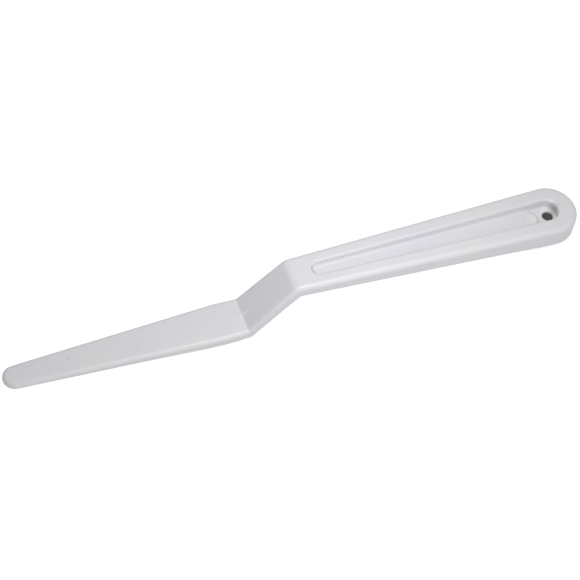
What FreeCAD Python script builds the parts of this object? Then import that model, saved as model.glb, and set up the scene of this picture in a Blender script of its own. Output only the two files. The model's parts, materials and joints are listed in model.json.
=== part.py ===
"""Flexible putty knife: one injection-moulded plastic tool, blade, cranked neck and channelled handle.

Drawn in the mould's frame (millimetres): X runs from the blade's tip to the handle's butt, Y across the
width, Z up, and the blade's top face is the plane Z = 0. The moulding is built whole, parted into its zones
at the flexures, and then laid down as it lies on a table: on its heel and on the lower edge of its butt.
"""
import FreeCAD
import Part
import Sketcher
import math
import os

V = FreeCAD.Vector

DRIVING_SIZES = {
    "overall_length": 210.0,
    "blade_length": 85.0,
    "neck_run": 16.6,
    "neck_rise": 17.6,
    "handle_fall": 1.25,
    "tip_radius": 4.4,
    "shoulder_station": 77.0,
    "shoulder_half_width": 7.8,
    "crest_half_width": 6.9,
    "butt_radius": 10.1,
    "tip_thickness": 2.1,
    "root_thickness": 3.8,
    "neck_heel_thickness": 3.5,
    "neck_crest_thickness": 4.35,
    "handle_front_thickness": 4.4,
    "butt_thickness": 8.4,
    "crest_radius": 4.0,
    "heel_radius": 1.5,
    "underarm_radius": 1.5,
    "blade_edge_radius": 1.5,
    "handle_edge_radius": 1.75,
    "side_blend_radius": 60.0,
    "channel_start": 109.5,
    "channel_start_radius": 2.5,
    "channel_end_centre": 198.9,
    "channel_end_radius": 4.2,
    "channel_front_depth": 2.6,
    "channel_rear_depth": 3.85,
    "channel_lip_radius": 0.6,
    "channel_floor_radius": 0.8,
    "land_start": 195.6,
    "land_nose_radius": 3.6,
    "land_step": 0.45,
    "land_half_width": 3.2,
    "hang_hole_station": 200.0,
    "hang_hole_diameter": 4.0,
    "flexure_gap": 0.05,
    "flexure_relief": 4.5,
    "tip_flexure": 20.0,
    "front_flexure": 40.0,
    "middle_flexure": 62.0,
    "heel_flexure_station": 85.5,
    "heel_flexure_height": -1.9,
    "crest_flexure_station": 102.4,
    "crest_flexure_height": 15.35,
    "bend_flexure_lean": 20.0,
    "zone_reach": 14.0,
    "blank_margin": 2.0,
    "clearance_around": 10.0,
}
SIZE = DRIVING_SIZES

# where the side view's two lower corners start out, before the thicknesses place them
UNDERARM_GUESS = (1.6, -4.5)
HEEL_GUESS = 1.1

# how far an edge's middle may lie from where it has to be, in millimetres, and how square an edge is across
EDGE_REACH = 0.05
ROUNDED_EDGE_REACH = 0.6
CHANNEL_MARGIN = 1.0
SQUARE_ACROSS = 0.99
SAME_RADIUS = 1e-6

doc = FreeCAD.newDocument("putty_knife")
sheet = doc.addObject("Spreadsheet::Sheet", "Sizes")
for row, (alias, value) in enumerate(DRIVING_SIZES.items(), start=1):
    sheet.set(f"A{row}", alias)
    sheet.set(f"B{row}", f"{value:g}")
    sheet.setAlias(f"B{row}", alias)
doc.recompute()


def bind(sketch, kind, *refs, value, expression, name):
    """Adds a dimension to a sketch and ties it to the sheet."""
    index = sketch.addConstraint(Sketcher.Constraint(kind, *refs, value))
    sketch.renameConstraint(index, name)
    sketch.setExpression(f"Constraints.{name}", expression)


def join(sketch, geometry):
    """Closes a loop of lines: each line's end is the next line's start."""
    for here, following in zip(geometry, geometry[1:] + geometry[:1]):
        sketch.addConstraint(Sketcher.Constraint("Coincident", here, 2, following, 1))


def new_body(name):
    return doc.addObject("PartDesign::Body", name)


def origin_plane(body, role):
    return next(feature for feature in body.Origin.OriginFeatures if feature.Role == role)


def sketch_in(body, name, role):
    sketch = body.newObject("Sketcher::SketchObject", name)
    sketch.AttachmentSupport = [(origin_plane(body, role), "")]
    sketch.MapMode = "FlatFace"
    return sketch


def polygon(sketch, points):
    """Adds a closed polygon of lines and gives their indices. Line i starts at point i."""
    ends = points[1:] + points[:1]
    lines = [
        sketch.addGeometry(Part.LineSegment(V(*start, 0), V(*end, 0)), False)
        for start, end in zip(points, ends)
    ]
    join(sketch, lines)
    return lines


def pin_down(sketch, geometry, place, name, across=None, up=None):
    """Fixes a point of a sketch by its distances from the origin, each a (value, expression) pair."""
    if across is not None:
        bind(sketch, "DistanceX", -1, 1, geometry, place, value=across[0], expression=across[1],
             name=name + "_across")
    if up is not None:
        bind(sketch, "DistanceY", -1, 1, geometry, place, value=up[0], expression=up[1], name=name + "_up")


def tangent_point(centre_x, radius, point_x, point_y):
    """Where a line from a point touches a circle that is centred on the X axis, on the point's own side."""
    along = point_x - centre_x
    reach = math.hypot(along, point_y)
    angle = math.atan2(point_y, along) + math.copysign(math.acos(radius / reach), along)
    return centre_x + radius * math.cos(angle), radius * math.sin(angle)


def edges_near(shape, wanted):
    """Names of the edges whose middle point the test accepts."""
    names = []
    for number, edge in enumerate(shape.Edges, start=1):
        middle = edge.valueAt((edge.FirstParameter + edge.LastParameter) / 2)
        if wanted(edge, middle):
            names.append(f"Edge{number}")
    return names


# ---------------------------------------------------------------- the whole moulding
moulding = new_body("moulding")

crest_station = SIZE["blade_length"] + SIZE["neck_run"]
butt_top = SIZE["neck_rise"] - SIZE["handle_fall"]
butt_bottom = butt_top - SIZE["butt_thickness"]
CREST_STATION = "Sizes.blade_length + Sizes.neck_run"
BUTT_TOP = "Sizes.neck_rise - Sizes.handle_fall"


def side_outline():
    """The tool's side view: tip, crease, crest, butt, and the underside set off by each stretch's thickness."""
    sketch = sketch_in(moulding, "side_outline", "XZ_Plane")
    points = [
        (0.0, -SIZE["tip_thickness"]),
        (0.0, 0.0),
        (SIZE["blade_length"], 0.0),
        (crest_station, SIZE["neck_rise"]),
        (SIZE["overall_length"], butt_top),
        (SIZE["overall_length"], butt_bottom),
        (crest_station + UNDERARM_GUESS[0], SIZE["neck_rise"] + UNDERARM_GUESS[1]),
        (SIZE["blade_length"] + HEEL_GUESS, -SIZE["root_thickness"]),
    ]
    tip, blade_top, neck_top, handle_top, butt, handle_under, neck_under, blade_under = polygon(sketch, points)
    pin_down(sketch, tip, 1, "tip_under", (0.0, "0"), (-SIZE["tip_thickness"], "-Sizes.tip_thickness"))
    sketch.addConstraint(Sketcher.Constraint("Coincident", blade_top, 1, -1, 1))
    pin_down(sketch, neck_top, 1, "crease", (SIZE["blade_length"], "Sizes.blade_length"), (0.0, "0"))
    pin_down(sketch, handle_top, 1, "crest", (crest_station, CREST_STATION),
             (SIZE["neck_rise"], "Sizes.neck_rise"))
    pin_down(sketch, butt, 1, "butt_top", (SIZE["overall_length"], "Sizes.overall_length"), (butt_top, BUTT_TOP))
    pin_down(sketch, handle_under, 1, "butt_under", (SIZE["overall_length"], "Sizes.overall_length"),
             (butt_bottom, BUTT_TOP + " - Sizes.butt_thickness"))
    thicknesses = [
        (neck_top, blade_under, "root_thickness"),
        (neck_top, neck_under, "neck_heel_thickness"),
        (handle_top, neck_under, "neck_crest_thickness"),
        (handle_top, handle_under, "handle_front_thickness"),
    ]
    for corner, line, thickness in thicknesses:
        bind(sketch, "Distance", corner, 1, line, value=SIZE[thickness], expression=f"Sizes.{thickness}",
             name=thickness)
    return sketch


def corner_arc(sketch, before, corner, after, radius):
    """A tangent arc that rounds a corner. Gives its index and the ends that meet the lines before and after."""
    arriving = (corner - before).normalize()
    leaving = (after - corner).normalize()
    turn = math.asin(arriving.x * leaving.y - arriving.y * leaving.x)
    tangent = radius * math.tan(abs(turn) / 2)
    start, end = corner - arriving * tangent, corner + leaving * tangent
    inward = V(-arriving.y, arriving.x, 0) * math.copysign(radius, turn)
    centre = start + inward
    angles = [math.atan2(point.y - centre.y, point.x - centre.x) for point in (start, end)]
    low, high = angles if turn > 0 else reversed(angles)
    if high < low:
        high += 2 * math.pi
    arc = sketch.addGeometry(
        Part.ArcOfCircle(Part.Circle(centre, V(0, 0, 1), radius), low, high), False)
    return arc, start, end, (1, 2) if turn > 0 else (2, 1)


def plan_side(sketch, tip_start, butt_end, side, name):
    """One side of the plan, from the tip's arc to the butt's: blade, shoulder, neck, waist, handle."""
    shoulder = V(SIZE["shoulder_station"], side * SIZE["shoulder_half_width"], 0)
    waist = V(crest_station, side * SIZE["crest_half_width"], 0)
    shoulder_arc, blade_end, neck_start, shoulder_ends = corner_arc(
        sketch, tip_start, shoulder, waist, SIZE["side_blend_radius"])
    waist_arc, neck_end, handle_start, waist_ends = corner_arc(
        sketch, shoulder, waist, butt_end, SIZE["side_blend_radius"])
    blade, neck, handle = [
        sketch.addGeometry(Part.LineSegment(start, end), False)
        for start, end in ((tip_start, blade_end), (neck_start, neck_end), (handle_start, butt_end))
    ]
    for line, place, arc, end in ((blade, 2, shoulder_arc, shoulder_ends[0]),
                                  (neck, 1, shoulder_arc, shoulder_ends[1]),
                                  (neck, 2, waist_arc, waist_ends[0]),
                                  (handle, 1, waist_arc, waist_ends[1])):
        sketch.addConstraint(Sketcher.Constraint("Tangent", line, place, arc, end))
    sign = "" if side > 0 else "-"
    corners = [
        ("shoulder", shoulder, blade, neck, "Sizes.shoulder_station", f"{sign}Sizes.shoulder_half_width"),
        ("waist", waist, neck, handle, CREST_STATION, f"{sign}Sizes.crest_half_width"),
    ]
    for label, corner, line, next_line, across, up in corners:
        mark = sketch.addGeometry(Part.Point(corner), True)
        sketch.addConstraint(Sketcher.Constraint("PointOnObject", mark, 1, line))
        sketch.addConstraint(Sketcher.Constraint("PointOnObject", mark, 1, next_line))
        pin_down(sketch, mark, 1, f"{label}_{name}", (corner.x, across), (corner.y, up))
    for label, arc in (("shoulder", shoulder_arc), ("waist", waist_arc)):
        bind(sketch, "Radius", arc, value=SIZE["side_blend_radius"], expression="Sizes.side_blend_radius",
             name=f"{label}_blend_{name}")
    return blade, handle


def plan_outline():
    """What is cut away around the tool's plan: everything inside a frame and outside the plan's outline."""
    sketch = sketch_in(moulding, "plan_outline", "XY_Plane")
    tip_x, tip_y = tangent_point(SIZE["tip_radius"], SIZE["tip_radius"], SIZE["shoulder_station"],
                                 SIZE["shoulder_half_width"])
    butt_centre = SIZE["overall_length"] - SIZE["butt_radius"]
    butt_x, butt_y = tangent_point(butt_centre, SIZE["butt_radius"], crest_station, SIZE["crest_half_width"])
    butt_angle = math.atan2(butt_y, butt_x - butt_centre)
    tip_angle = math.atan2(tip_y, tip_x - SIZE["tip_radius"])
    butt_arc = sketch.addGeometry(
        Part.ArcOfCircle(Part.Circle(V(butt_centre, 0, 0), V(0, 0, 1), SIZE["butt_radius"]),
                         -butt_angle, butt_angle), False)
    tip_arc = sketch.addGeometry(
        Part.ArcOfCircle(Part.Circle(V(SIZE["tip_radius"], 0, 0), V(0, 0, 1), SIZE["tip_radius"]),
                         tip_angle, 2 * math.pi - tip_angle), False)
    for side, name, tip_place, butt_place in ((1, "far", 1, 2), (-1, "near", 2, 1)):
        blade, handle = plan_side(sketch, V(tip_x, side * tip_y, 0), V(butt_x, side * butt_y, 0), side, name)
        sketch.addConstraint(Sketcher.Constraint("Tangent", blade, 1, tip_arc, tip_place))
        sketch.addConstraint(Sketcher.Constraint("Tangent", handle, 2, butt_arc, butt_place))
    pin_down(sketch, tip_arc, 3, "tip", (SIZE["tip_radius"], "Sizes.tip_radius"), (0.0, "0"))
    pin_down(sketch, butt_arc, 3, "butt", (butt_centre, "Sizes.overall_length - Sizes.butt_radius"), (0.0, "0"))
    bind(sketch, "Radius", tip_arc, value=SIZE["tip_radius"], expression="Sizes.tip_radius", name="tip_radius")
    bind(sketch, "Radius", butt_arc, value=SIZE["butt_radius"], expression="Sizes.butt_radius",
         name="butt_radius")
    frame_around(sketch)
    return sketch


def frame_around(sketch):
    """A rectangle that stands clear of the whole plan."""
    out = SIZE["clearance_around"]
    reach = SIZE["butt_radius"] + out
    length = SIZE["overall_length"] + out
    lines = polygon(sketch, [(-out, -reach), (length, -reach), (length, reach), (-out, reach)])
    low = (-out, "-Sizes.clearance_around")
    high = (length, "Sizes.overall_length + Sizes.clearance_around")
    side = "Sizes.butt_radius + Sizes.clearance_around"
    pin_down(sketch, lines[0], 1, "frame_0", low, (-reach, f"-({side})"))
    pin_down(sketch, lines[1], 1, "frame_1", high, (-reach, f"-({side})"))
    pin_down(sketch, lines[2], 1, "frame_2", high, (reach, side))
    pin_down(sketch, lines[3], 1, "frame_3", low, (reach, side))


def fillet(name, base, wanted, radius_alias):
    """Rounds the chosen edges of the moulding with a radius from the sheet."""
    names = edges_near(base.Shape, wanted)
    if not names:
        raise RuntimeError(f"{name} found no edges")
    feature = moulding.newObject("PartDesign::Fillet", name)
    feature.Base = (base, names)
    feature.setExpression("Radius", f"Sizes.{radius_alias}")
    doc.recompute()
    return feature


def runs_across(edge, middle):
    return abs(edge.tangentAt(edge.FirstParameter).y) > SQUARE_ACROSS and abs(middle.y) < EDGE_REACH


blank = moulding.newObject("PartDesign::Pad", "blank")
blank.Profile = side_outline()
blank.SideType = "Symmetric"
blank.setExpression("Length", "2 * (Sizes.butt_radius + Sizes.blank_margin)")
doc.recompute()

crest_corner = fillet(
    "crest_round", blank,
    lambda edge, middle: runs_across(edge, middle) and middle.distanceToPoint(
        V(crest_station, 0, SIZE["neck_rise"])) < EDGE_REACH,
    "crest_radius")
heel_corner = fillet(
    "heel_round", crest_corner,
    lambda edge, middle: runs_across(edge, middle) and middle.z < -SIZE["neck_heel_thickness"]
    and middle.x > SIZE["blade_length"],
    "heel_radius")
underarm_corner = fillet(
    "underarm_round", heel_corner,
    lambda edge, middle: runs_across(edge, middle) and crest_station < middle.x < SIZE["channel_start"]
    and middle.z < SIZE["neck_rise"] - SIZE["neck_crest_thickness"] / 2,
    "underarm_radius")

trim = moulding.newObject("PartDesign::Pocket", "plan_trim")
trim.Profile = plan_outline()
trim.Type = "ThroughAll"
trim.SideType = "Symmetric"
doc.recompute()


def handle_top_at(station):
    return SIZE["neck_rise"] - SIZE["handle_fall"] * (station - crest_station) / (
        SIZE["overall_length"] - crest_station)


def handle_top_formula(station):
    return (f"(Sizes.neck_rise - Sizes.handle_fall * ({station} - Sizes.blade_length - Sizes.neck_run)"
            " / (Sizes.overall_length - Sizes.blade_length - Sizes.neck_run))")


def channel_floor_at(station):
    front = handle_top_at(SIZE["channel_start"]) - SIZE["channel_front_depth"]
    rear = handle_top_at(SIZE["channel_end_centre"]) - SIZE["channel_rear_depth"]
    run = SIZE["channel_end_centre"] - SIZE["channel_start"]
    return front + (rear - front) * (station - SIZE["channel_start"]) / run


def on_channel_floor(name):
    """A sketch that lies in the channel's sloping floor, with its origin where the channel starts."""
    sketch = sketch_in(moulding, name, "XY_Plane")
    front = channel_floor_at(SIZE["channel_start"])
    rear = channel_floor_at(SIZE["channel_end_centre"])
    run = SIZE["channel_end_centre"] - SIZE["channel_start"]
    front_formula = handle_top_formula("Sizes.channel_start") + " - Sizes.channel_front_depth"
    rear_formula = handle_top_formula("Sizes.channel_end_centre") + " - Sizes.channel_rear_depth"
    slope = math.degrees(math.atan((front - rear) / run))
    sketch.AttachmentOffset = FreeCAD.Placement(V(SIZE["channel_start"], 0, front),
                                                FreeCAD.Rotation(V(0, 1, 0), slope))
    sketch.setExpression(".AttachmentOffset.Base.x", "Sizes.channel_start")
    sketch.setExpression(".AttachmentOffset.Base.z", front_formula)
    sketch.setExpression(
        ".AttachmentOffset.Rotation.Angle",
        f"atan(({front_formula} - ({rear_formula})) / (Sizes.channel_end_centre - Sizes.channel_start))")
    return sketch


def stadium(sketch, first, second, name):
    """Two arcs joined by tangent lines. Each arc is (centre, centre's formula, radius, radius's formula)."""
    (first_x, first_formula, first_radius, first_radius_formula) = first
    (second_x, second_formula, second_radius, second_radius_formula) = second
    lean = math.asin((second_radius - first_radius) / (second_x - first_x))
    up = math.pi / 2 + lean
    tops = [
        V(centre + radius * math.cos(up), radius * math.sin(up), 0)
        for centre, radius in ((first_x, first_radius), (second_x, second_radius))
    ]
    bottoms = [V(top.x, -top.y, 0) for top in tops]
    far = sketch.addGeometry(Part.LineSegment(tops[0], tops[1]), False)
    near = sketch.addGeometry(Part.LineSegment(bottoms[1], bottoms[0]), False)
    rear_arc = sketch.addGeometry(
        Part.ArcOfCircle(Part.Circle(V(second_x, 0, 0), V(0, 0, 1), second_radius), -up, up), False)
    front_arc = sketch.addGeometry(
        Part.ArcOfCircle(Part.Circle(V(first_x, 0, 0), V(0, 0, 1), first_radius), up, 2 * math.pi - up), False)
    sketch.addConstraint(Sketcher.Constraint("Tangent", far, 2, rear_arc, 2))
    sketch.addConstraint(Sketcher.Constraint("Tangent", near, 1, rear_arc, 1))
    sketch.addConstraint(Sketcher.Constraint("Tangent", far, 1, front_arc, 1))
    sketch.addConstraint(Sketcher.Constraint("Tangent", near, 2, front_arc, 2))
    pin_down(sketch, front_arc, 3, name + "_front", (first_x, first_formula), (0.0, "0"))
    pin_down(sketch, rear_arc, 3, name + "_rear", (second_x, second_formula), (0.0, "0"))
    bind(sketch, "Radius", front_arc, value=first_radius, expression=first_radius_formula,
         name=name + "_front_radius")
    bind(sketch, "Radius", rear_arc, value=second_radius, expression=second_radius_formula,
         name=name + "_rear_radius")


def channel_outline():
    """The stiffening channel in the handle's top: narrow at the neck, wide around the hanging hole."""
    sketch = on_channel_floor("channel_outline")
    stadium(sketch,
            (SIZE["channel_start_radius"], "Sizes.channel_start_radius",
             SIZE["channel_start_radius"], "Sizes.channel_start_radius"),
            (SIZE["channel_end_centre"] - SIZE["channel_start"], "Sizes.channel_end_centre - Sizes.channel_start",
             SIZE["channel_end_radius"], "Sizes.channel_end_radius"),
            "channel")
    return sketch


channel = moulding.newObject("PartDesign::Pocket", "channel")
channel.Profile = channel_outline()
channel.Type = "ThroughAll"
channel.Reversed = True
doc.recompute()


def channel_land_outline():
    """The lower land around the hanging hole, where the channel's floor ends in a rounded nose."""
    sketch = on_channel_floor("channel_land_outline")
    nose_centre = SIZE["land_start"] - SIZE["land_nose_radius"] - SIZE["channel_start"]
    end_centre = SIZE["channel_end_centre"] - SIZE["channel_start"]
    half_width = SIZE["land_half_width"]
    nose_turn = math.asin(half_width / SIZE["land_nose_radius"])
    nose_x = nose_centre + SIZE["land_nose_radius"] * math.cos(nose_turn)
    nose = sketch.addGeometry(
        Part.ArcOfCircle(Part.Circle(V(nose_centre, 0, 0), V(0, 0, 1), SIZE["land_nose_radius"]),
                         -nose_turn, nose_turn), False)
    far = sketch.addGeometry(Part.LineSegment(V(nose_x, half_width, 0), V(end_centre, half_width, 0)), False)
    end = sketch.addGeometry(
        Part.ArcOfCircle(Part.Circle(V(end_centre, 0, 0), V(0, 0, 1), half_width),
                         -math.pi / 2, math.pi / 2), False)
    near = sketch.addGeometry(Part.LineSegment(V(end_centre, -half_width, 0), V(nose_x, -half_width, 0)), False)
    sketch.addConstraint(Sketcher.Constraint("Coincident", nose, 2, far, 1))
    sketch.addConstraint(Sketcher.Constraint("Coincident", near, 2, nose, 1))
    sketch.addConstraint(Sketcher.Constraint("Tangent", far, 2, end, 2))
    sketch.addConstraint(Sketcher.Constraint("Tangent", near, 1, end, 1))
    sketch.addConstraint(Sketcher.Constraint("Horizontal", far))
    sketch.addConstraint(Sketcher.Constraint("Horizontal", near))
    pin_down(sketch, nose, 3, "nose",
             (nose_centre, "Sizes.land_start - Sizes.land_nose_radius - Sizes.channel_start"), (0.0, "0"))
    pin_down(sketch, end, 3, "land_end",
             (end_centre, "Sizes.channel_end_centre - Sizes.channel_start"), (0.0, "0"))
    bind(sketch, "Radius", nose, value=SIZE["land_nose_radius"], expression="Sizes.land_nose_radius",
         name="nose_radius")
    bind(sketch, "Radius", end, value=half_width, expression="Sizes.land_half_width", name="land_half_width")
    return sketch


def hang_hole_outline():
    sketch = sketch_in(moulding, "hang_hole_outline", "XY_Plane")
    radius = SIZE["hang_hole_diameter"] / 2
    circle = sketch.addGeometry(Part.Circle(V(SIZE["hang_hole_station"], 0, 0), V(0, 0, 1), radius), False)
    pin_down(sketch, circle, 3, "hole", (SIZE["hang_hole_station"], "Sizes.hang_hole_station"), (0.0, "0"))
    bind(sketch, "Radius", circle, value=radius, expression="Sizes.hang_hole_diameter / 2", name="hole_radius")
    return sketch


def in_channel(middle):
    """Is the point within the channel's plan, or just outside it?"""
    end = SIZE["channel_end_centre"] + SIZE["channel_end_radius"]
    along = SIZE["channel_start"] - CHANNEL_MARGIN < middle.x < end + CHANNEL_MARGIN
    return along and abs(middle.y) < SIZE["channel_end_radius"] + CHANNEL_MARGIN


def on_channel_lip(edge, middle):
    return in_channel(middle) and abs(middle.z - handle_top_at(middle.x)) < EDGE_REACH


def round_channel_floor(edge, middle):
    return in_channel(middle) and abs(middle.z - channel_floor_at(middle.x)) < EDGE_REACH


channel_floor_round = fillet("channel_floor_round", channel, round_channel_floor, "channel_floor_radius")
channel_lip_round = fillet("channel_lip_round", channel_floor_round, on_channel_lip, "channel_lip_radius")

channel_land = moulding.newObject("PartDesign::Pocket", "channel_land")
channel_land.Profile = channel_land_outline()
channel_land.setExpression("Length", "Sizes.land_step")
doc.recompute()

hang_hole = moulding.newObject("PartDesign::Pocket", "hang_hole")
hang_hole.Profile = hang_hole_outline()
hang_hole.Type = "ThroughAll"
hang_hole.SideType = "Symmetric"
doc.recompute()


# ---------------------------------------------------------------- parting the moulding at its flexures
def blade_flexure(name):
    """A flexure square across the blade at mid thickness: (across, up, lean), each with its formula."""
    station = SIZE[name]
    thinning = (SIZE["root_thickness"] - SIZE["tip_thickness"]) / SIZE["blade_length"]
    up = -(SIZE["tip_thickness"] + thinning * station) / 2
    up_formula = (f"-(Sizes.tip_thickness + (Sizes.root_thickness - Sizes.tip_thickness) * Sizes.{name}"
                  " / Sizes.blade_length) / 2")
    return (station, f"Sizes.{name}"), (up, up_formula), (0.0, "0")


def bend_flexure(name):
    """A flexure at one of the neck's bends, which leans back with the bend's mitre."""
    return (
        (SIZE[f"{name}_station"], f"Sizes.{name}_station"),
        (SIZE[f"{name}_height"], f"Sizes.{name}_height"),
        (SIZE["bend_flexure_lean"], "Sizes.bend_flexure_lean"),
    )


def notch_side(flexure, side):
    """One solid's end at a flexure: low, ridge and high points. Side is +1 for the solid nearer the butt.

    The end is a ridge on the flexure's axis at mid thickness, relieved by a few degrees above and below,
    so that the two ends roll about the ridge and never meet within the flexure's travel.
    """
    (station, station_formula), (height, height_formula), (lean, lean_formula) = flexure
    gap, relief, reach = SIZE["flexure_gap"], SIZE["flexure_relief"], SIZE["zone_reach"]
    sign = "+" if side > 0 else "-"
    turn = math.radians(lean)
    ridge = (
        (station + side * gap * math.cos(turn), height + side * gap * math.sin(turn)),
        (f"{station_formula} {sign} Sizes.flexure_gap * cos({lean_formula})",
         f"{height_formula} {sign} Sizes.flexure_gap * sin({lean_formula})"),
    )
    high_turn = math.radians(lean - side * relief)
    low_turn = math.radians(lean + side * relief)
    opposite = "-" if side > 0 else "+"
    high = (
        (ridge[0][0] - reach * math.sin(high_turn), ridge[0][1] + reach * math.cos(high_turn)),
        (f"{ridge[1][0]} - Sizes.zone_reach * sin({lean_formula} {opposite} Sizes.flexure_relief)",
         f"{ridge[1][1]} + Sizes.zone_reach * cos({lean_formula} {opposite} Sizes.flexure_relief)"),
    )
    low = (
        (ridge[0][0] + reach * math.sin(low_turn), ridge[0][1] - reach * math.cos(low_turn)),
        (f"{ridge[1][0]} + Sizes.zone_reach * sin({lean_formula} {sign} Sizes.flexure_relief)",
         f"{ridge[1][1]} - Sizes.zone_reach * cos({lean_formula} {sign} Sizes.flexure_relief)"),
    )
    return [low, ridge, high]


def free_end(station, formula):
    """The straight side of a zone that stands clear beyond the tip or the butt."""
    drop, top = -SIZE["clearance_around"], SIZE["neck_rise"] + SIZE["clearance_around"]
    return [
        ((station, drop), (formula, "-Sizes.clearance_around")),
        ((station, top), (formula, "Sizes.neck_rise + Sizes.clearance_around")),
    ]


def zone(name, front, rear):
    """A slab across the tool between two ends, each a list of points from low to high."""
    body = new_body(f"{name}_zone")
    sketch = sketch_in(body, f"{name}_zone_outline", "XZ_Plane")
    corners = front + rear[::-1]
    lines = polygon(sketch, [values for values, formulas in corners])
    for number, (values, formulas) in enumerate(corners):
        pin_down(sketch, lines[number], 1, f"corner_{number}", (values[0], formulas[0]),
                 (values[1], formulas[1]))
    slab = body.newObject("PartDesign::Pad", f"{name}_zone_slab")
    slab.Profile = sketch
    slab.SideType = "Symmetric"
    slab.setExpression("Length", "2 * (Sizes.butt_radius + Sizes.clearance_around)")
    return body


flexures = {
    "tip_flex": blade_flexure("tip_flexure"),
    "front_flex": blade_flexure("front_flexure"),
    "middle_flex": blade_flexure("middle_flexure"),
    "heel_flex": bend_flexure("heel_flexure"),
    "crest_flex": bend_flexure("crest_flexure"),
}
SUB_PARTS = {
    "blade_tip": (None, "tip_flex"),
    "blade_front": ("tip_flex", "front_flex"),
    "blade_middle": ("front_flex", "middle_flex"),
    "blade_root": ("middle_flex", "heel_flex"),
    "neck": ("heel_flex", "crest_flex"),
    "handle": ("crest_flex", None),
}

before_tip = free_end(-SIZE["clearance_around"], "-Sizes.clearance_around")
behind_butt = free_end(SIZE["overall_length"] + SIZE["clearance_around"],
                       "Sizes.overall_length + Sizes.clearance_around")


def parted(name, front, rear):
    """The stretch of the moulding between two flexures."""
    stretch = doc.addObject("Part::Common", f"{name}_stretch")
    stretch.Base = moulding
    stretch.Tool = zone(
        name,
        before_tip if front is None else notch_side(flexures[front], +1),
        behind_butt if rear is None else notch_side(flexures[rear], -1),
    )
    doc.recompute()
    return stretch


def top_face_height(station):
    if station < SIZE["blade_length"]:
        return 0.0
    if station < crest_station:
        return SIZE["neck_rise"] * (station - SIZE["blade_length"]) / SIZE["neck_run"]
    return handle_top_at(station)


def on_plan_outline(edge, middle):
    """Does the edge follow the tool's plan, not cut across the tool and not bound the channel?"""
    return not runs_across(edge, middle) and not in_channel(middle)


def rounded(name, stretch, radius_alias):
    """The stretch with the edges of its top face rounded: this is the sub-part."""
    radius = float(sheet.get(radius_alias))
    part = doc.addObject("Part::Fillet", name)
    part.Label = name
    part.Base = stretch
    part.Edges = [
        (number, radius, radius)
        for number, edge in enumerate(stretch.Shape.Edges, start=1)
        for middle in [edge.valueAt((edge.FirstParameter + edge.LastParameter) / 2)]
        if on_plan_outline(edge, middle) and abs(middle.z - top_face_height(middle.x)) < ROUNDED_EDGE_REACH
    ]
    return part


sub_parts = {
    name: rounded(name, parted(name, front, rear),
                  "handle_edge_radius" if name == "handle" else "blade_edge_radius")
    for name, (front, rear) in SUB_PARTS.items()
}
doc.recompute()


# ---------------------------------------------------------------- laying the tool down
def resting_pitch():
    """How far the butt drops, in degrees, until the heel's round and the butt's lower edge touch a table."""
    heel = next(
        face.Surface for face in heel_corner.Shape.Faces
        if isinstance(face.Surface, Part.Cylinder) and abs(face.Surface.Radius - SIZE["heel_radius"]) < SAME_RADIUS
        and face.CenterOfMass.z < 0
    )
    along = SIZE["overall_length"] - heel.Center.x
    rise = butt_bottom - heel.Center.z
    return math.degrees(math.atan2(rise, along) + math.asin(heel.Radius / math.hypot(along, rise)))


pitch = FreeCAD.Rotation(V(0, 1, 0), resting_pitch())
tilted = Part.makeCompound([part.Shape for part in sub_parts.values()])
tilted.Placement = FreeCAD.Placement(V(0, 0, 0), pitch)
reach = tilted.optimalBoundingBox(False, False)
lying = FreeCAD.Placement(V(-(reach.XMin + reach.XMax) / 2, 0, -reach.ZMin), pitch)
for part in sub_parts.values():
    part.Placement = lying
doc.recompute()

failed = [thing.Name for thing in doc.Objects if {"Invalid", "Error"} & set(thing.State)]
if failed:
    raise RuntimeError(f"these features failed: {failed}")
for name, part in sub_parts.items():
    if part.Shape.isNull() or not part.Shape.isValid() or len(part.Shape.Solids) != 1:
        raise RuntimeError(f"{name} is not one valid solid")

os.makedirs("parts", exist_ok=True)
for name, part in sub_parts.items():
    part.Shape.exportStep(f"parts/{name}.step")
    print(f"{name}: {part.Shape.Volume:.1f} mm3")
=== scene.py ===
"""Looks for the flexible putty knife: one white plastic moulding over the frame's joints.

The moulding is drawn in its mould's frame, in millimetres, as part.py draws it: X from the blade's tip to the
butt, Y across, Z up, the blade's top face on Z = 0. Sections across the tool are laid from tip to butt, half
of each is drawn and mirrored, and the skin is cut at four seams, so that each piece crosses one joint.
"""
import json
import math

import bmesh
import bpy
from mathutils import Matrix, Vector
from mathutils.geometry import delaunay_2d_cdt


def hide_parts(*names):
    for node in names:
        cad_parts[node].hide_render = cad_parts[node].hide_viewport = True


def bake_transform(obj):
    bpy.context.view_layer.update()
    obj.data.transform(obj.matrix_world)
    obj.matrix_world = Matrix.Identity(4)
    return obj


MM = 0.001

# ---------------------------------------------------------------- the tool's sizes, in millimetres
LENGTH = 210.0
CREASE = (85.0, 0.0)
CREST = (101.6, 17.6)
BUTT_TOP = (LENGTH, 16.35)
BUTT_BOTTOM = (LENGTH, 7.95)
TIP_BOTTOM = (0.0, -2.1)
ROOT_THICKNESS = 3.8
NECK_HEEL_THICKNESS = 3.5
NECK_CREST_THICKNESS = 4.35
HANDLE_FRONT_THICKNESS = 4.4
TIP_RADIUS = 4.4
BUTT_RADIUS = 10.1
SHOULDER = (77.0, 7.8)
WAIST = (CREST[0], 6.9)
SIDE_BLEND = {SHOULDER: 2.5, WAIST: 2.1}
CREASE_ROUND = 0.35
CREST_ROUND = 4.01
HEEL_ROUND = 1.5
UNDERARM_ROUND = 1.5
BLADE_EDGE_ROUND = 1.5
HANDLE_EDGE_ROUND = 1.75
UNDER_EDGE_ROUND = 0.3
CHANNEL_FRONT = (112.0, 2.5)
CHANNEL_REAR = (198.9, 4.2)
CHANNEL_FRONT_DEPTH = 2.6
CHANNEL_REAR_DEPTH = 3.85
CHANNEL_LIP_ROUND = 0.9
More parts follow.
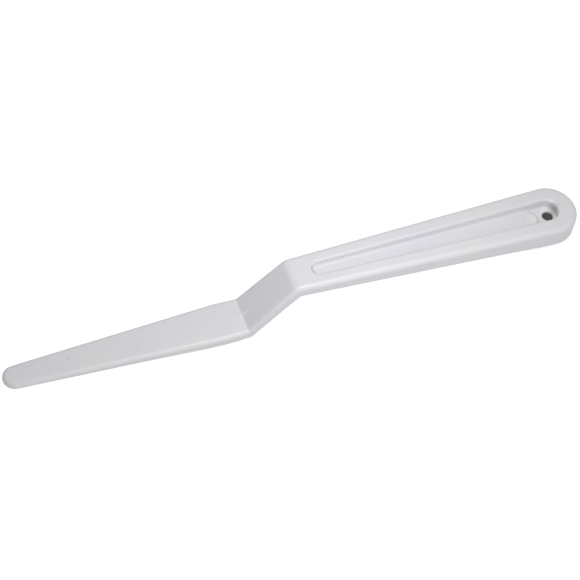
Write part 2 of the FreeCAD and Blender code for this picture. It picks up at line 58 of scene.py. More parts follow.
CHANNEL_FLOOR_ROUND = 0.8
CHANNEL_START_ROUND = 2.3
LAND_STEP = 0.45
LAND_STEP_WIDTH = 0.22
NOSE_CENTRE = 192.0
NOSE_RADIUS = 3.6
NOSE_HALF_WIDTH = 3.2
HOLE_CENTRE = 200.0
HOLE_RADIUS = 2.0
HOLE_RIM_ROUND = 0.25
GATE_MARK_WIDTH = 0.5
GATE_FRONT = (83.0, 0.1)
GATE_REAR = (87.4, 2.72)
GATE_SAG = 0.35
GATE_ROOT = 1.6
GATE_END_WIDTH = 0.55
GATE_MIDDLE_WIDTH = 0.45
GATE_WIDEST_SHIFT = 0.25

# the middle of the tip's joint, in the mould's frame
TIP_FLEXURE = Vector((20.0, 0.0, -1.25))

# the plastic: linear colours, distances in millimetres, and its texture's scales in waves per millimetre
PLASTIC_COOL = (0.785, 0.777, 0.828)
PLASTIC_WARM = (0.8, 0.799, 0.815)
SPECK_COLOUR = (0.30, 0.29, 0.28)
# the colour of the painted shade at the nose, in the channel's far corner and down the hanging hole
PAINTED_SHADE_COLOUR = (0.085, 0.075, 0.04)
GATE_LIFT = 1.05
FLOW_SCALE = 0.05
FLOW_DETAIL = 3.0
FLOW_SPAN = (0.35, 0.65)
# each speck's place, its size and how strong it is; its core is this share of its size
SPECKS = [((23.0, 0.4, 0.0), 0.45, 0.35), ((46.4, -3.0, 0.0), 0.4, 0.3)]
SPECK_CORE = 0.3
# the painted highlights on the channel's floor: station and across, then where each starts and ends fading
PAINTED_HIGHLIGHT_SPOTS = [((195.0, 0.0), 0.8, 4.0), ((199.4, 2.0), 0.8, 2.6)]
PAINTED_HIGHLIGHT = 0.5
PAINTED_HIGHLIGHT_COLOUR = (0.97, 0.96, 0.9)
# the painted shade round the nose: distances from its radius, past its centre, and below the land
NOSE_SHADE = 0.25
NOSE_SHADE_INNER = (-0.5, 0.0)
NOSE_SHADE_OUTER = (0.3, 1.0)
NOSE_SHADE_START = (1.0, 2.5)
NOSE_SHADE_BELOW = (1.0, 0.5)
# the painted shade in the far corner of the channel: its middle across and over the land, and its fading
POCKET_SHADE = 0.5
POCKET_ACROSS = 1.0
POCKET_RISE = 1.4
POCKET_FADE = (0.8, 3.4)
# the painted shade down the hanging hole: how strong it is low and high in the hole, at these depths below
# the land
HOLE_SHADE = (0.88, 0.1)
HOLE_SHADE_BELOW = (1.1, 0.3)
HOLE_SHADE_MARGIN = 0.02
ROUGHNESS = (0.34, 0.42)
ROUGHNESS_SCALE = 0.5
ROUGHNESS_DETAIL = 4.0
ROUGHNESS_SPAN = (0.3, 0.7)
GRAIN_SCALE = 3.5
GRAIN_DETAIL = 2.0
GRAIN_STRENGTH = 0.25
GRAIN_HEIGHT = 0.02
WAVE_SCALE = 0.16
WAVE_DETAIL = 1.0
WAVE_STRENGTH = 0.5
WAVE_HEIGHT = 0.06
# the Mix node's sockets for colours
MIX_FIRST = 6
MIX_SECOND = 7
MIX_RESULT = 2

# the studio: metres, watts and degrees, in the row's frame
LIT_POINT = Vector((-0.015, 0.0, 0.01))
KEY_FROM = (0.28, -0.36, 0.89)
KEY_DISTANCE = 0.19
KEY_SIZE = 0.1
KEY_POWER = 0.183
FILL_FROM = (0.1, -1.0, 0.15)
FILL_DISTANCE = 0.35
FILL_SIZE = 0.2
FILL_POWER = 0.1
WORLD_COLOUR = (1.0, 1.0, 1.0)
WORLD_STRENGTH = 0.45
FLOOR_REACH = 3.0
BACKDROP_HEIGHT = 2.0
BACKDROP_SIDES = 48
FLOOR_COLOUR = (0.1, 0.1, 0.1)
FLOOR_GLOW = 1.0
FLOOR_ROUGHNESS = 0.9
FLOOR_SHADE_REACH = 0.009
FLOOR_OPENNESS = (0.2, 0.32)
CAMERA_TARGET = Vector((-0.000738, 0.006022, 0.0))
CAMERA_DISTANCE = 0.601
CAMERA_AZIMUTH = -18.614
CAMERA_ELEVATION = 57.664
CAMERA_ROLL = -1.674
CAMERA_LENS = 105.92
CAMERA_SENSOR = 36.0
CAMERA_NEAR = 0.01

# the stations at which the skin is cut into pieces, where the stretch over a joint starts or ends, and where
# the sections change their way of running
BLADE_SEAMS = (30.0, 51.0, 73.5)
TIP_BEND_FRONT = 10.5
HEEL_BEND_FRONT = 77.0
CREST_BEND_REAR = 111.0
BLADE_START = 6.0
FAN_START = 80.0
CHANNEL_FAN_START = 106.0
END_PATCH_START = 190.0
ARC_MARGIN = 0.3
SAME_STATION = 0.01

# how finely each stretch is cut into sections, from tip to butt, and how many lie past the neck's seam
TIP_SECTIONS = 22
BLADE_SECTIONS = 62
BLADE_FAN_SECTIONS = 7
HEEL_SECTIONS = 8
NECK_SECTIONS = 14
CREST_SECTIONS = 14
CREST_FAN_SECTIONS = 4
CHANNEL_FAN_SECTIONS = 12
CHANNEL_SECTIONS = 58
BUTT_SECTIONS = 28
NECK_SECTIONS_PAST_SEAM = 8

# how finely round stretches are divided
EDGE_STEPS = 8
UNDER_EDGE_STEPS = 4
WALL_STEPS = 2
RIM_STEPS = 4
HOLE_STEPS = 32
NOSE_STEPS = 14
NOSE_REACH = 0.93
NOSE_STEP_SHARES = (0.0, 0.33, 0.67, 1.0)
GATE_STEPS = 12
GATE_SIDES = 6
WELD = 0.0005
SAME_POINT = 1e-6
SHARP_ANGLE = math.radians(40)


def smooth(share):
    share = min(max(share, 0.0), 1.0)
    return share * share * (3 - 2 * share)


def lerp(start, end, share):
    return start + (end - start) * share


def spread(start, end, count):
    """Evenly spaced values from start up to, but not at, end."""
    return [lerp(start, end, number / count) for number in range(count)]


def eased(count, edge=0.04):
    """Shares from 0 to 1, with a narrow first and last step that keep the flat between them flat."""
    inner = [lerp(edge, 1 - edge, number / count) for number in range(1, count)]
    return [0.0, edge] + inner + [1 - edge, 1.0]


# ---------------------------------------------------------------- side view
def line_below(first, first_gap, second, second_gap):
    """The line that passes under two points at these distances: a point on it and its direction."""
    first, second = Vector(first), Vector(second)
    along = (second - first).normalized()
    tilt = math.asin((second_gap - first_gap) / (second - first).length)
    normal = Vector((-along.y, along.x)) * math.cos(tilt) + along * math.sin(tilt)
    return first - normal * first_gap, Vector((normal.y, -normal.x))


def crossing(first, second):
    """Where two lines meet, each given as a point and a direction."""
    (start, along), (other, across) = first, second
    gap = other - start
    return start + along * ((gap.x * across.y - gap.y * across.x) / (along.x * across.y - along.y * across.x))


blade_under = line_below(TIP_BOTTOM, 0.0, CREASE, ROOT_THICKNESS)
neck_under = line_below(CREASE, NECK_HEEL_THICKNESS, CREST, NECK_CREST_THICKNESS)
handle_under = line_below(CREST, HANDLE_FRONT_THICKNESS, BUTT_BOTTOM, 0.0)
TOP_CORNERS = [Vector((0.0, 0.0)), Vector(CREASE), Vector(CREST), Vector(BUTT_TOP)]
UNDER_CORNERS = [Vector(TIP_BOTTOM), crossing(blade_under, neck_under), crossing(neck_under, handle_under),
                 Vector(BUTT_BOTTOM)]


def rounded_corner(before, corner, after, radius):
    """A corner's arc: a function from a share of the arc to a point on it and the outline's upward normal."""
    arriving, leaving = (corner - before).normalized(), (after - corner).normalized()
    turn = math.atan2(arriving.x * leaving.y - arriving.y * leaving.x, arriving.dot(leaving))
    start = corner - arriving * radius * math.tan(abs(turn) / 2)
    up = Vector((-arriving.y, arriving.x))
    centre = start + up * math.copysign(radius, turn)

    def at(share):
        normal = up.copy()
        normal.rotate(Matrix.Rotation(turn * share, 2))
        return centre - normal * math.copysign(radius, turn), normal

    return at


class Outline:
    """One long line of the side view: three straights and the two rounded corners between them."""

    def __init__(self, corners, first_round, second_round):
        self.start, self.end = corners[0], corners[3]
        self.first = rounded_corner(corners[0], corners[1], corners[2], first_round)
        self.second = rounded_corner(corners[1], corners[2], corners[3], second_round)

    def height(self, station):
        """The first or the last straight's height at a station."""
        if station < (CREASE[0] + CREST[0]) / 2:
            low, high = self.start, self.first(0)[0]
        else:
            low, high = self.second(1)[0], self.end
        return lerp(low.y, high.y, (station - low.x) / (high.x - low.x))

    def at(self, station):
        """The point of the first or the last straight at a station, with its normal."""
        corner = self.first(0) if station < (CREASE[0] + CREST[0]) / 2 else self.second(1)
        return Vector((station, self.height(station))), corner[1]


top = Outline(TOP_CORNERS, CREASE_ROUND, CREST_ROUND)
under = Outline(UNDER_CORNERS, HEEL_ROUND, UNDERARM_ROUND)


# ---------------------------------------------------------------- plan view
def tangent_angle(centre, radius, point):
    """The angle round a circle on the X axis at which the line from a point touches it."""
    along = point[0] - centre
    turn = math.acos(radius / math.hypot(along, point[1]))
    return math.atan2(point[1], along) + math.copysign(turn, along)


TIP_CENTRE = TIP_RADIUS
BUTT_CENTRE = LENGTH - BUTT_RADIUS
tip_angle = tangent_angle(TIP_CENTRE, TIP_RADIUS, SHOULDER)
butt_angle = tangent_angle(BUTT_CENTRE, BUTT_RADIUS, WAIST)
TIP_TANGENT = (TIP_CENTRE + TIP_RADIUS * math.cos(tip_angle), TIP_RADIUS * math.sin(tip_angle))
BUTT_TANGENT = (BUTT_CENTRE + BUTT_RADIUS * math.cos(butt_angle), BUTT_RADIUS * math.sin(butt_angle))


def half_width(station):
    """Half the tool's width at a station between its two end arcs, and how fast it changes."""
    corners = [TIP_TANGENT, SHOULDER, WAIST, BUTT_TANGENT]
    slopes = [(b[1] - a[1]) / (b[0] - a[0]) for a, b in zip(corners, corners[1:])]
    width = corners[0][1] + slopes[0] * (station - corners[0][0])
    slope = slopes[0]
    for corner, arriving, leaving in zip(corners[1:3], slopes, slopes[1:]):
        reach = SIDE_BLEND[corner]
        past = station - (corner[0] - reach)
        if past > 0:
            turned = min(past, 2 * reach)
            kink = (leaving - arriving) / (2 * reach)
            width += kink * turned * turned / 2 + (leaving - arriving) * (past - turned)
            slope += kink * turned
    return width, slope


def channel_half_width(station):
    """Half the channel's width between its end arcs, and the slope of its sides."""
    (front, front_radius), (rear, rear_radius) = CHANNEL_FRONT, CHANNEL_REAR
    lean = math.asin((rear_radius - front_radius) / (rear - front))
    width = front_radius / math.cos(lean) + math.tan(lean) * (station - front)
    return width, math.tan(lean)


channel_lean = math.atan(channel_half_width(0.0)[1])


class Section:
    """A cut across the tool, from a point of the top to a point of the underside.

    It lies square across the tool, except round the tip's and the butt's arcs, where it lies along a radius.
    """

    def __init__(self, top_at, under_at, arc=None):
        (self.top, top_normal), (self.under, under_normal) = top_at, under_at
        self.arc = arc
        self.down = (self.under - self.top).normalized()
        self.thickness = (self.under - self.top).length
        self.top_stretch = -1 / self.down.dot(top_normal)
        self.under_stretch = -1 / self.down.dot(under_normal)

    def point(self, inset, below):
        """A point of the skin: inset from the plan's outline, and this far below the top along the cut."""
        if self.arc is not None:
            centre, radius, angle = self.arc
            station = centre + (radius - inset) * math.cos(angle)
            across = (radius - inset) * math.sin(angle)
            return Vector((station, across, lerp(top.height(station), under.height(station),
                                                 below / self.thickness)))
        place = self.top + self.down * below
        width, slope = half_width(place.x)
        return Vector((place.x, width - inset * math.hypot(1, slope), place.y))

    def middle(self):
        return (self.top + self.under) / 2

    def side(self):
        """The skin from the top's edge round, down the side wall and round the underside's edge."""
        past_crest = smooth((self.top.x - CREST[0] + CREST_ROUND) / (2 * CREST_ROUND))
        radius = lerp(BLADE_EDGE_ROUND, HANDLE_EDGE_ROUND, past_crest)
        upper = [
            (radius * (1 - math.sin(turn)), radius * (1 - math.cos(turn)) * self.top_stretch)
            for turn in quarter_turn(EDGE_STEPS)
        ]
        lower = [
            (UNDER_EDGE_ROUND * (1 - math.sin(turn)),
             self.thickness - UNDER_EDGE_ROUND * (1 - math.cos(turn)) * self.under_stretch)
            for turn in reversed(quarter_turn(UNDER_EDGE_STEPS))
        ]
        wall = [(0.0, lerp(upper[-1][1], lower[0][1], share)) for share in eased(WALL_STEPS)[1:-1]]
        return [self.point(inset, below) for inset, below in upper + wall + lower]


def quarter_turn(steps):
    return [math.pi / 2 * number / steps for number in range(steps + 1)]


def straight_sections(stations):
    return [Section(top.at(station), under.at(station)) for station in stations]


def bend_sections(shares, top_corner, under_corner):
    """Cuts that fan round a bend: each joins the same share of the top's and of the underside's corner."""
    return [Section(top_corner(share), under_corner(share)) for share in shares]


def between(first, second, shares):
    """Cuts between two others over flat faces, whose normals they share with the first or the second."""
    return [
        Section((first[0][0].lerp(second[0][0], share), first[0][1]),
                (first[1][0].lerp(second[1][0], share), first[1][1]))
        for share in shares
    ]


def arc_sections(centre, radius, angles):
    return [Section(top.at(centre), under.at(centre), (centre, radius, angle)) for angle in angles]


def shares(count):
    return [number / count for number in range(count)]


# ---------------------------------------------------------------- the sections, from tip to butt
blade_stations = sorted({
    TIP_TANGENT[0] + ARC_MARGIN,
    *(round(station, 3) for station in spread(BLADE_START, FAN_START, BLADE_SECTIONS)),
    *BLADE_SEAMS,
})
channel_fan = spread(CHANNEL_FAN_START, CHANNEL_FRONT[0], CHANNEL_FAN_SECTIONS)
channel_straight = spread(CHANNEL_FRONT[0], CHANNEL_REAR[0], CHANNEL_SECTIONS)
patch_station = min(channel_straight, key=lambda station: abs(station - END_PATCH_START))

blade_end = (top.at(FAN_START), under.at(FAN_START))
heel_start = (top.first(0), under.first(0))
neck_start = (top.first(1), under.first(1))
crest_start = (top.second(0), under.second(0))
crest_end = (top.second(1), under.second(1))
channel_start = (top.at(CHANNEL_FAN_START), under.at(CHANNEL_FAN_START))

sections = arc_sections(TIP_CENTRE, TIP_RADIUS, spread(math.pi, tip_angle, TIP_SECTIONS) + [tip_angle])
sections += straight_sections(blade_stations)
sections += between(blade_end, heel_start, shares(BLADE_FAN_SECTIONS))
sections += bend_sections(shares(HEEL_SECTIONS), top.first, under.first)
sections += between(neck_start, crest_start, eased(NECK_SECTIONS)[:-1])
neck_seam = len(sections) - NECK_SECTIONS_PAST_SEAM
sections += bend_sections(shares(CREST_SECTIONS), top.second, under.second)
sections += between(crest_end, channel_start, shares(CREST_FAN_SECTIONS))
channel_first = len(sections)
sections += straight_sections(channel_fan + channel_straight)
channel_end_turn = len(sections)
sections += straight_sections([CHANNEL_REAR[0], BUTT_TANGENT[0] - ARC_MARGIN])
sections += arc_sections(BUTT_CENTRE, BUTT_RADIUS, spread(butt_angle, 0.0, BUTT_SECTIONS) + [0.0])
last = len(sections) - 1
patch_first = channel_first + len(channel_fan) + channel_straight.index(patch_station)


def blade_seam(station):
    """The number of the straight section at a seam's station."""
    return next(number for number, section in enumerate(sections)
                if section.arc is None and abs(section.top.x - station) < SAME_STATION)


seams = [blade_seam(station) for station in BLADE_SEAMS] + [neck_seam]


# ---------------------------------------------------------------- the handle's channel
def rim(number, outward):
    """A section's point of the channel's plan outline, moved outward from the channel by some distance."""
    (front, front_radius), (rear, rear_radius) = CHANNEL_FRONT, CHANNEL_REAR
    front_end = channel_first + len(channel_fan)
    side_angle = math.pi / 2 + channel_lean
    if number < front_end:
        share = (number - channel_first) / (front_end - channel_first)
        angle = lerp(math.pi, side_angle, share)
        radius = front_radius + outward
        return front + radius * math.cos(angle), radius * math.sin(angle)
    if number < channel_end_turn:
        share = (number - front_end) / (channel_end_turn - front_end)
        station = lerp(front - (front_radius + outward) * math.sin(channel_lean),
                       rear - (rear_radius + outward) * math.sin(channel_lean), share)
        return station, channel_half_width(station)[0] + outward / math.cos(channel_lean)
    share = (number - channel_end_turn) / (last - channel_end_turn)
    angle = lerp(side_angle, 0.0, share)
    radius = rear_radius + outward
    return rear + radius * math.cos(angle), radius * math.sin(angle)


def floor_height(station, across):
    """The channel's floor: it slopes away from the neck, and steps down at a rounded nose before the hole."""
    start = CHANNEL_FRONT[0] - CHANNEL_FRONT[1]
    front = top.height(start) - CHANNEL_FRONT_DEPTH
    rear = top.height(CHANNEL_REAR[0]) - CHANNEL_REAR_DEPTH
    past_nose = math.hypot(max(station - NOSE_CENTRE, 0.0), min(abs(across), NOSE_HALF_WIDTH)) - NOSE_RADIUS
    return (lerp(front, rear, (station - start) / (CHANNEL_REAR[0] - start))
            - LAND_STEP * smooth(past_nose / LAND_STEP_WIDTH))


def channel_side(number):
    """The skin from the channel's lip round, down its wall and round into its floor."""
    share_in = smooth((number - channel_first) / (2 * len(channel_fan)))
    floor_round = lerp(CHANNEL_START_ROUND, CHANNEL_FLOOR_ROUND, share_in)
    points = []
    for turn in quarter_turn(EDGE_STEPS):
        station, across = rim(number, CHANNEL_LIP_ROUND * (1 - math.sin(turn)))
        drop = CHANNEL_LIP_ROUND * (1 - math.cos(turn))
        points.append(Vector((station, across, top.height(station) - drop)))
    station, across = rim(number, 0.0)
    for share in eased(WALL_STEPS)[1:-1]:
        foot = floor_height(station, across) + floor_round
        points.append(Vector((station, across, lerp(points[EDGE_STEPS].z, foot, share))))
    for turn in quarter_turn(EDGE_STEPS):
        station, across = rim(number, -floor_round * (1 - math.cos(turn)))
        rise = floor_round * (1 - math.sin(turn))
        points.append(Vector((station, across, floor_height(station, across) + rise)))
    return points


def row(start, end, count=5):
    """Points across a flat face, from just after one edge to the other."""
    return [start.lerp(end, share) for share in eased(count)[1:]]


def centre_of(point, height):
    return Vector((point.x, 0.0, height))


def skin_line(number):
    """A section's outer skin: from the middle, or from the channel's lip, over the side to the underside."""
    section = sections[number]
    side = section.side()
    crest_rear = top.second(1)[0].x
    if number >= channel_first:
        inner = channel_side(number)[0]
    elif section.arc is not None:
        inner = centre_of(side[0], side[0].z)
    elif number > neck_seam and section.top.x > crest_rear:
        to_channel = (section.top.x - crest_rear) / (CHANNEL_FAN_START - crest_rear)
        pole = CHANNEL_FRONT[0] - CHANNEL_FRONT[1] - CHANNEL_LIP_ROUND
        station = lerp(crest_rear, pole, to_channel)
        inner = Vector((station, 0.0, top.height(station)))
    else:
        inner = Vector((section.top.x, 0.0, section.top.y))
    across_top = list(reversed(row(side[0], inner)))
    if number > patch_first:
        return across_top + side
    middle = Vector((section.under.x, 0.0, section.under.y))
    if section.arc is not None:
        middle = centre_of(side[-1], side[-1].z)
    return across_top + side + row(side[-1], middle)


def channel_line(number):
    """A section's channel skin: from the lip to the middle of the floor, or to its edge round the hole."""
    side = channel_side(number)
    if number > patch_first:
        return side
    return side + row(side[-1], centre_of(side[-1], floor_height(side[-1].x, 0.0)))


def strip(lines):
    """Quads between neighbouring lines of points."""
    for before, after in zip(lines, lines[1:]):
        count = min(len(before), len(after))
        for number in range(count - 1):
            yield [before[number], after[number], after[number + 1], before[number + 1]]


def patch(outline, creases, height):
    """Triangles over a flat region around the hole: its outline in order, and lines that it must follow."""
    points = [point.copy() for point in outline]
    edges = [(number, (number + 1) % len(outline)) for number in range(len(outline))]
    for crease in creases:
        first = len(points)
        points += crease
        edges += [(number, number + 1) for number in range(first, len(points) - 1)]
    flat = [Vector((point.x, point.y)) for point in points]
    found, _, triangles, origins, _, _ = delaunay_2d_cdt(
        flat, edges, [list(range(len(outline)))], 1, SAME_POINT)
    places = [
        points[origin[0]] if origin else Vector((spot.x, spot.y, height(spot.x, spot.y)))
        for spot, origin in zip(found, origins)
    ]
    return [[places[corner] for corner in triangle] for triangle in triangles]


def hole_ring(radius, height):
    """Half a circle round the hanging hole, from the butt's side to the neck's."""
    ring = []
    for number in range(HOLE_STEPS + 1):
        angle = math.pi * number / HOLE_STEPS
        station, across = HOLE_CENTRE + radius * math.cos(angle), radius * math.sin(angle)
        ring.append(Vector((station, across, height(station, across))))
    return ring


def under_height(station, across):
    """The underside's height, which is the same all the way across."""
    return under.height(station)


def hole_rings():
    """The hole's skin from the land, round its rim, down its wall and out round the underside's rim."""
    rings = []
    for turn in quarter_turn(RIM_STEPS):
        inset, drop = HOLE_RIM_ROUND * (1 - math.sin(turn)), HOLE_RIM_ROUND * (1 - math.cos(turn))
        rings.append(hole_ring(HOLE_RADIUS + inset, lambda x, y, drop=drop: floor_height(x, y) - drop))
    for turn in reversed(quarter_turn(RIM_STEPS)):
        inset, rise = HOLE_RIM_ROUND * (1 - math.sin(turn)), HOLE_RIM_ROUND * (1 - math.cos(turn))
        rings.append(hole_ring(HOLE_RADIUS + inset, lambda x, y, rise=rise: under.height(x) + rise))
    return rings


def nose_line(radius):
    """An arc of the floor's nose, kept just inside the floor's edge."""
    reach = math.asin(NOSE_HALF_WIDTH * NOSE_REACH / radius)
    line = []
    for number in range(NOSE_STEPS + 1):
        angle = reach * number / NOSE_STEPS
        station, across = NOSE_CENTRE + radius * math.cos(angle), radius * math.sin(angle)
        line.append(Vector((station, across, floor_height(station, across))))
    return line


def end_patches():
    """The floor and the underside around the hanging hole."""
    rings = hole_rings()
    feet = [channel_side(number)[-1] for number in range(patch_first, last + 1)]
    floor = [centre_of(feet[0], floor_height(feet[0].x, 0.0))]
    floor_row = row(feet[0], floor[0])
    nose = [nose_line(NOSE_RADIUS + LAND_STEP_WIDTH * share) for share in NOSE_STEP_SHARES]
    floor_outline = feet + rings[0] + list(reversed(floor_row))
    faces = patch(floor_outline, nose, floor_height)
    edge = [sections[number].side()[-1] for number in range(patch_first, last + 1)]
    under_row = row(edge[0], Vector((sections[patch_first].under.x, 0.0, sections[patch_first].under.y)))
    under_outline = edge + rings[-1] + list(reversed(under_row))
    faces += patch(under_outline, [], under_height)
    return faces + list(strip(rings))


def cap(number):
    """The flat end of a piece at a seam: half the section's loop, closed by its mirror image."""
    half = skin_line(number)
    mirrored = [Vector((point.x, -point.y, point.z)) for point in reversed(half)]
    return half + mirrored[1:-1]


# ---------------------------------------------------------------- from the mould's frame to the row's
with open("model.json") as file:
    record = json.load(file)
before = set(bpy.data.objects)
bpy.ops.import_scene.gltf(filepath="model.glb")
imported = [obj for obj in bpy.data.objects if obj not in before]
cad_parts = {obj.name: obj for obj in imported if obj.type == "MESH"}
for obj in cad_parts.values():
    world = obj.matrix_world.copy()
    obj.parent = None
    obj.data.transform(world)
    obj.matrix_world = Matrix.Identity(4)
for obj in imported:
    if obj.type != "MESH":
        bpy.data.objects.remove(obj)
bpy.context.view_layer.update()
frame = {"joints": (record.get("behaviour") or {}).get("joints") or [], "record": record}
joints = {joint["name"]: joint for joint in frame["joints"]}
hole_axis = next(mount["axis"] for mount in frame["record"]["mounts"] if mount["name"] == "hang_hole")
pitch = math.atan2(hole_axis[0], hole_axis[2])
lay_down = Matrix.Rotation(pitch, 4, "Y") @ Matrix.Scale(MM, 4)
offset = Vector(joints["tip_flex"]["pos_m"]) - lay_down @ TIP_FLEXURE
to_row = Matrix.Translation(offset) @ lay_down


def row_point(side_point):
    """A point of the middle plane, in metres in the row's frame."""
    return to_row @ Vector((side_point.x, 0.0, side_point.y))


def build_mesh(name, faces):
    """A closed, smooth mesh from faces in millimetres, which keeps each point's place in the mould and is set
    in the row's frame.
    """
    work = bmesh.new()
    for corners in faces:
        work.faces.new([work.verts.new(corner) for corner in corners])
    bmesh.ops.remove_doubles(work, verts=work.verts, dist=WELD)
    bmesh.ops.dissolve_degenerate(work, edges=work.edges, dist=WELD)
    bmesh.ops.recalc_face_normals(work, faces=work.faces)
    mesh = bpy.data.meshes.new(name)
    rest = work.verts.layers.float_vector.new("mould_place")
    for vertex in work.verts:
        vertex[rest] = vertex.co
    bmesh.ops.transform(work, matrix=to_row, verts=work.verts)
    for face in work.faces:
        face.smooth = True
    work.to_mesh(mesh)
    work.free()
    mesh.set_sharp_from_angle(angle=SHARP_ANGLE)
    thing = bpy.data.objects.new(name, mesh)
    bpy.context.scene.collection.objects.link(thing)
    return thing


def both_sides(faces):
    mirrored = [[Vector((point.x, -point.y, point.z)) for point in reversed(corners)] for corners in faces]
    return faces + mirrored


def moulding_piece(name, first, final):
    """The stretch of the moulding between two sections, closed at its seams."""
    faces = list(strip([skin_line(number) for number in range(first, final + 1)]))
    if final == last:
        faces += strip([channel_line(number) for number in range(channel_first, last + 1)])
        faces += end_patches()
    faces = both_sides(faces)
    if first > 0:
        faces.append(cap(first))
    if final < last:
        faces.append(cap(final))
    piece = build_mesh(name, faces)
    piece.data.materials.append(plastic)
    return piece


# ---------------------------------------------------------------- white plastic
def node(tree, kind, **settings):
    made = tree.nodes.new(kind)
    for name, value in settings.items():
        setattr(made, name, value)
    return made


def remap(tree, value, low, high, to_low, to_high):
    """The value, moved from one range to another and clamped."""
    ranged = node(tree, "ShaderNodeMapRange")
    tree.links.new(value, ranged.inputs["Value"])
    for name, number in (("From Min", low), ("From Max", high), ("To Min", to_low), ("To Max", to_high)):
        ranged.inputs[name].default_value = number
    return ranged.outputs["Result"]


def noise(tree, place, scale, detail):
    cloud = node(tree, "ShaderNodeTexNoise")
    cloud.inputs["Scale"].default_value = scale
    cloud.inputs["Detail"].default_value = detail
    tree.links.new(place, cloud.inputs["Vector"])
    return cloud.outputs["Fac"]


def near(tree, place, spot, inner, outer):
    """1 within the inner distance of a spot of the moulding, falling to 0 at the outer."""
    gap = node(tree, "ShaderNodeVectorMath", operation="DISTANCE")
    tree.links.new(place, gap.inputs[0])
    gap.inputs[1].default_value = spot
    return remap(tree, gap.outputs["Value"], inner, outer, 1.0, 0.0)


def colour_mix(tree, factor, over):
    """A mix by a factor whose second colour is set, and whose first is still open."""
    mix = node(tree, "ShaderNodeMix", data_type="RGBA")
    tree.links.new(factor, mix.inputs["Factor"])
    mix.inputs[MIX_SECOND].default_value = (*over, 1.0)
    return mix


def paint(tree, colour, factor, over):
    """The colour with another laid over it by a factor."""
    mix = colour_mix(tree, factor, over)
    tree.links.new(colour, mix.inputs[MIX_FIRST])
    return mix.outputs[MIX_RESULT]


def scaled(tree, value, by):
    product = node(tree, "ShaderNodeMath", operation="MULTIPLY")
    tree.links.new(value, product.inputs[0])
    product.inputs[1].default_value = by
    return product.outputs["Value"]


def combined(tree, operation, first, second):
    result = node(tree, "ShaderNodeMath", operation=operation)
    tree.links.new(first, result.inputs[0])
    tree.links.new(second, result.inputs[1])
    return result.outputs["Value"]


def bump(tree, place, scale, detail, strength, height):
    """Noise as a relief of this height in millimetres."""
    relief = node(tree, "ShaderNodeBump")
    relief.inputs["Strength"].default_value = strength
    relief.inputs["Distance"].default_value = height * MM
    tree.links.new(noise(tree, place, scale, detail), relief.inputs["Height"])
    return relief


def flow_clouds(tree, place, lift):
    """The plastic's own colour, which drifts between cool and warm along its flow."""
    flow = noise(tree, place, FLOW_SCALE, FLOW_DETAIL)
    warm = [part * lift for part in PLASTIC_WARM]
    cool = [part * lift for part in PLASTIC_COOL]
    base = colour_mix(tree, remap(tree, flow, *FLOW_SPAN, 0.0, 1.0), warm)
    base.inputs[MIX_FIRST].default_value = (*cool, 1.0)
    return base.outputs[MIX_RESULT]


def specks(tree, place, colour):
    for spot, size, strength in SPECKS:
        speck = near(tree, place, spot, size * SPECK_CORE, size)
        colour = paint(tree, colour, scaled(tree, speck, strength), SPECK_COLOUR)
    return colour


def painted_floor_highlights(tree, place, colour):
    """Painted highlights: paler spots of the channel's floor beside the hole."""
    for (station_at, across_at), inner, outer in PAINTED_HIGHLIGHT_SPOTS:
        spot = (station_at, across_at, floor_height(station_at, 0.0))
        highlight = near(tree, place, spot, inner, outer)
        colour = paint(tree, colour, scaled(tree, highlight, PAINTED_HIGHLIGHT), PAINTED_HIGHLIGHT_COLOUR)
    return colour


def painted_shade(tree, place, colour):
    """Painted shade in the corner at the foot of the nose, in the far corner of the channel and down the
    hole.
    """
    flattened = node(tree, "ShaderNodeVectorMath", operation="MULTIPLY")
    tree.links.new(place, flattened.inputs[0])
    flattened.inputs[1].default_value = (1.0, 1.0, 0.0)
    plan = flattened.outputs["Vector"]
    parts = node(tree, "ShaderNodeSeparateXYZ")
    tree.links.new(place, parts.inputs[0])
    station, height = parts.outputs["X"], parts.outputs["Z"]
    land = floor_height(HOLE_CENTRE, 0.0)

    nose_at = (NOSE_CENTRE, 0.0, 0.0)
    within_inner, within_outer = (
        near(tree, plan, nose_at, NOSE_RADIUS + start, NOSE_RADIUS + end)
        for start, end in (NOSE_SHADE_INNER, NOSE_SHADE_OUTER))
    arc = combined(tree, "SUBTRACT", within_outer, within_inner)
    start, end = NOSE_SHADE_START
    ahead = remap(tree, station, NOSE_CENTRE + start, NOSE_CENTRE + end, 0.0, 1.0)
    low, high = NOSE_SHADE_BELOW
    raised = remap(tree, height, land - low, land - high, 0.0, NOSE_SHADE)
    arc_front = combined(tree, "MULTIPLY", arc, ahead)
    colour = paint(tree, colour, combined(tree, "MULTIPLY", arc_front, raised), PAINTED_SHADE_COLOUR)

    pocket_at = (CHANNEL_REAR[0] + CHANNEL_REAR[1], POCKET_ACROSS, land + POCKET_RISE)
    pocket = near(tree, place, pocket_at, *POCKET_FADE)
    colour = paint(tree, colour, scaled(tree, pocket, POCKET_SHADE), PAINTED_SHADE_COLOUR)

    hole_at = (HOLE_CENTRE, 0.0, 0.0)
    in_hole = near(tree, plan, hole_at, HOLE_RADIUS + HOLE_SHADE_MARGIN, HOLE_RADIUS + HOLE_RIM_ROUND)
    low, high = HOLE_SHADE_BELOW
    depth = remap(tree, height, land - low, land - high, *HOLE_SHADE)
    return paint(tree, colour, combined(tree, "MULTIPLY", in_hole, depth), PAINTED_SHADE_COLOUR)


